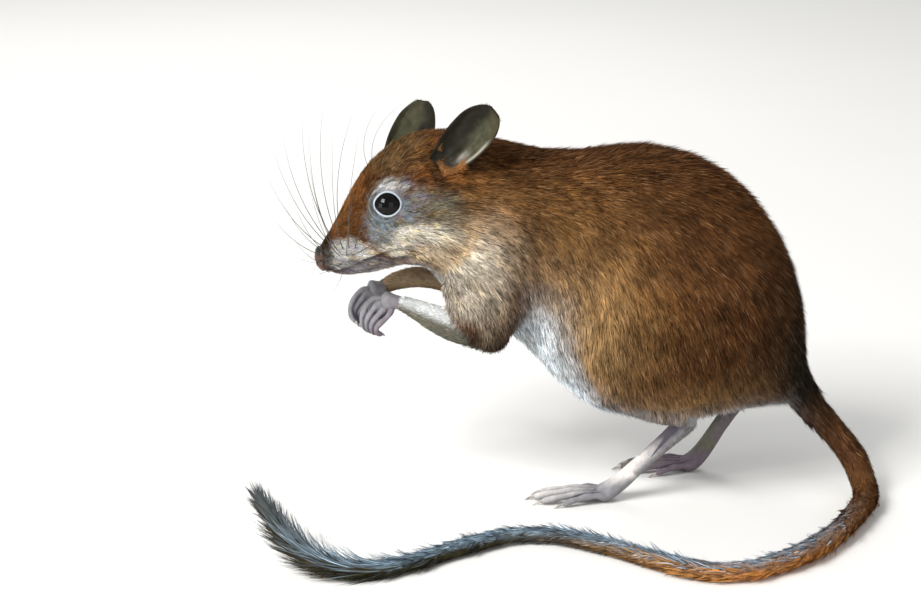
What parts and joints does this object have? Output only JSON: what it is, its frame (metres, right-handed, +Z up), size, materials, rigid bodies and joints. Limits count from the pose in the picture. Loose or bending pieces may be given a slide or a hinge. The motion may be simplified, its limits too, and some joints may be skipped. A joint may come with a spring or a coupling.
{
  "type": "gerbil",
  "caption": "Life-size brown gerbil crouched on long hind feet, hands drawn up to its chin, bristly tufted tail swept round in front.",
  "frame": {"origin": "under the middle of the whole animal, on the ground it stands on", "axes": "+X from the nose towards the rump, +Y towards the animal's right side, +Z up"},
  "size_m": [0.154, 0.0972, 0.1012],
  "materials": {
    "fur": "short dense brown coat",
    "pale_fur": "short pale coat on the limbs",
    "ear_skin": "thin dark skin with sparse down",
    "foot_skin": "pale pink skin with sparse white hair",
    "nose_skin": "moist bare brown skin",
    "eye": "wet black eye",
    "tail_fur": "coarse bristly coat, longest at the tip"
  },
  "bodies": {
    "root": {"head": "fur", "nose": "nose_skin", "eye_left": "eye", "eye_right": "eye", "ear_left": "ear_skin", "ear_right": "ear_skin", "neck": "fur", "torso": "fur", "upper_arm_left": "fur", "upper_arm_right": "fur", "forearm_left": "pale_fur", "forearm_right": "pale_fur", "hand_left": "foot_skin", "hand_right": "foot_skin", "thigh_left": "fur", "thigh_right": "fur", "shank_left": "pale_fur", "shank_right": "pale_fur", "hock_left": "foot_skin", "hock_right": "foot_skin", "foot_left": "foot_skin", "foot_right": "foot_skin", "tail_1": "tail_fur", "tail_2": "tail_fur", "tail_3": "tail_fur", "tail_4": "tail_fur", "tail_5": "tail_fur", "tail_6": "tail_fur", "tail_7": "tail_fur"}
  },
  "joints": []
}
